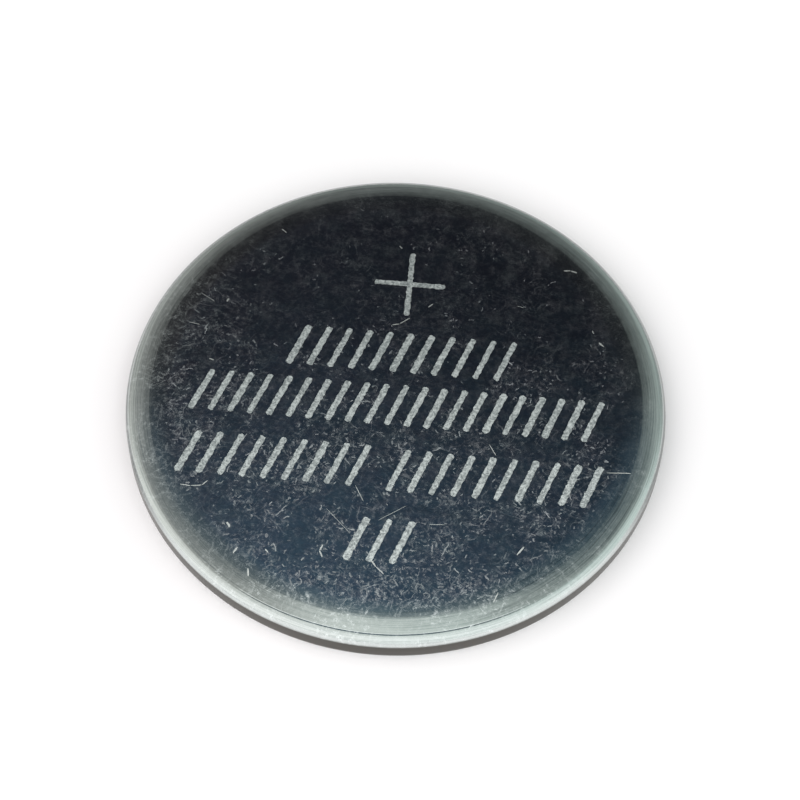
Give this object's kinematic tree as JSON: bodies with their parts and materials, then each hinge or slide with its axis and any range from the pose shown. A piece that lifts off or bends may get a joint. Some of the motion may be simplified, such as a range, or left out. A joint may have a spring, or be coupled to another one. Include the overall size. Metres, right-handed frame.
{
  "type": "lithium coin cell",
  "caption": "Thin round lithium coin cell: drawn steel positive can crimped over a J-shaped seal and a stepped negative cap, with its electrode stack inside",
  "frame": {"origin": "centre of the flat of the negative cap, on which the cell rests", "axes": "+Z runs along the axis of revolution, from the negative cap to the face of the positive can; X and Y lie in the plane of the cap"},
  "size_m": [0.02, 0.02, 0.0016],
  "materials": {
    "can_steel": "bright nickel-plated steel with handling scratches and haze",
    "cap_steel": "satin steel sheet",
    "seal": "translucent white polypropylene",
    "mesh_steel": "expanded stainless steel",
    "cathode": "pressed manganese dioxide and graphite, matt",
    "separator": "nonwoven polypropylene",
    "lithium": "dull soft metal"
  },
  "bodies": {
    "root": {"positive_can": "can_steel", "negative_cap": "cap_steel", "sealing_gasket": "seal", "current_collector": "mesh_steel", "cathode_pellet": "cathode", "separator": "separator", "lithium_anode": "lithium"}
  },
  "joints": []
}
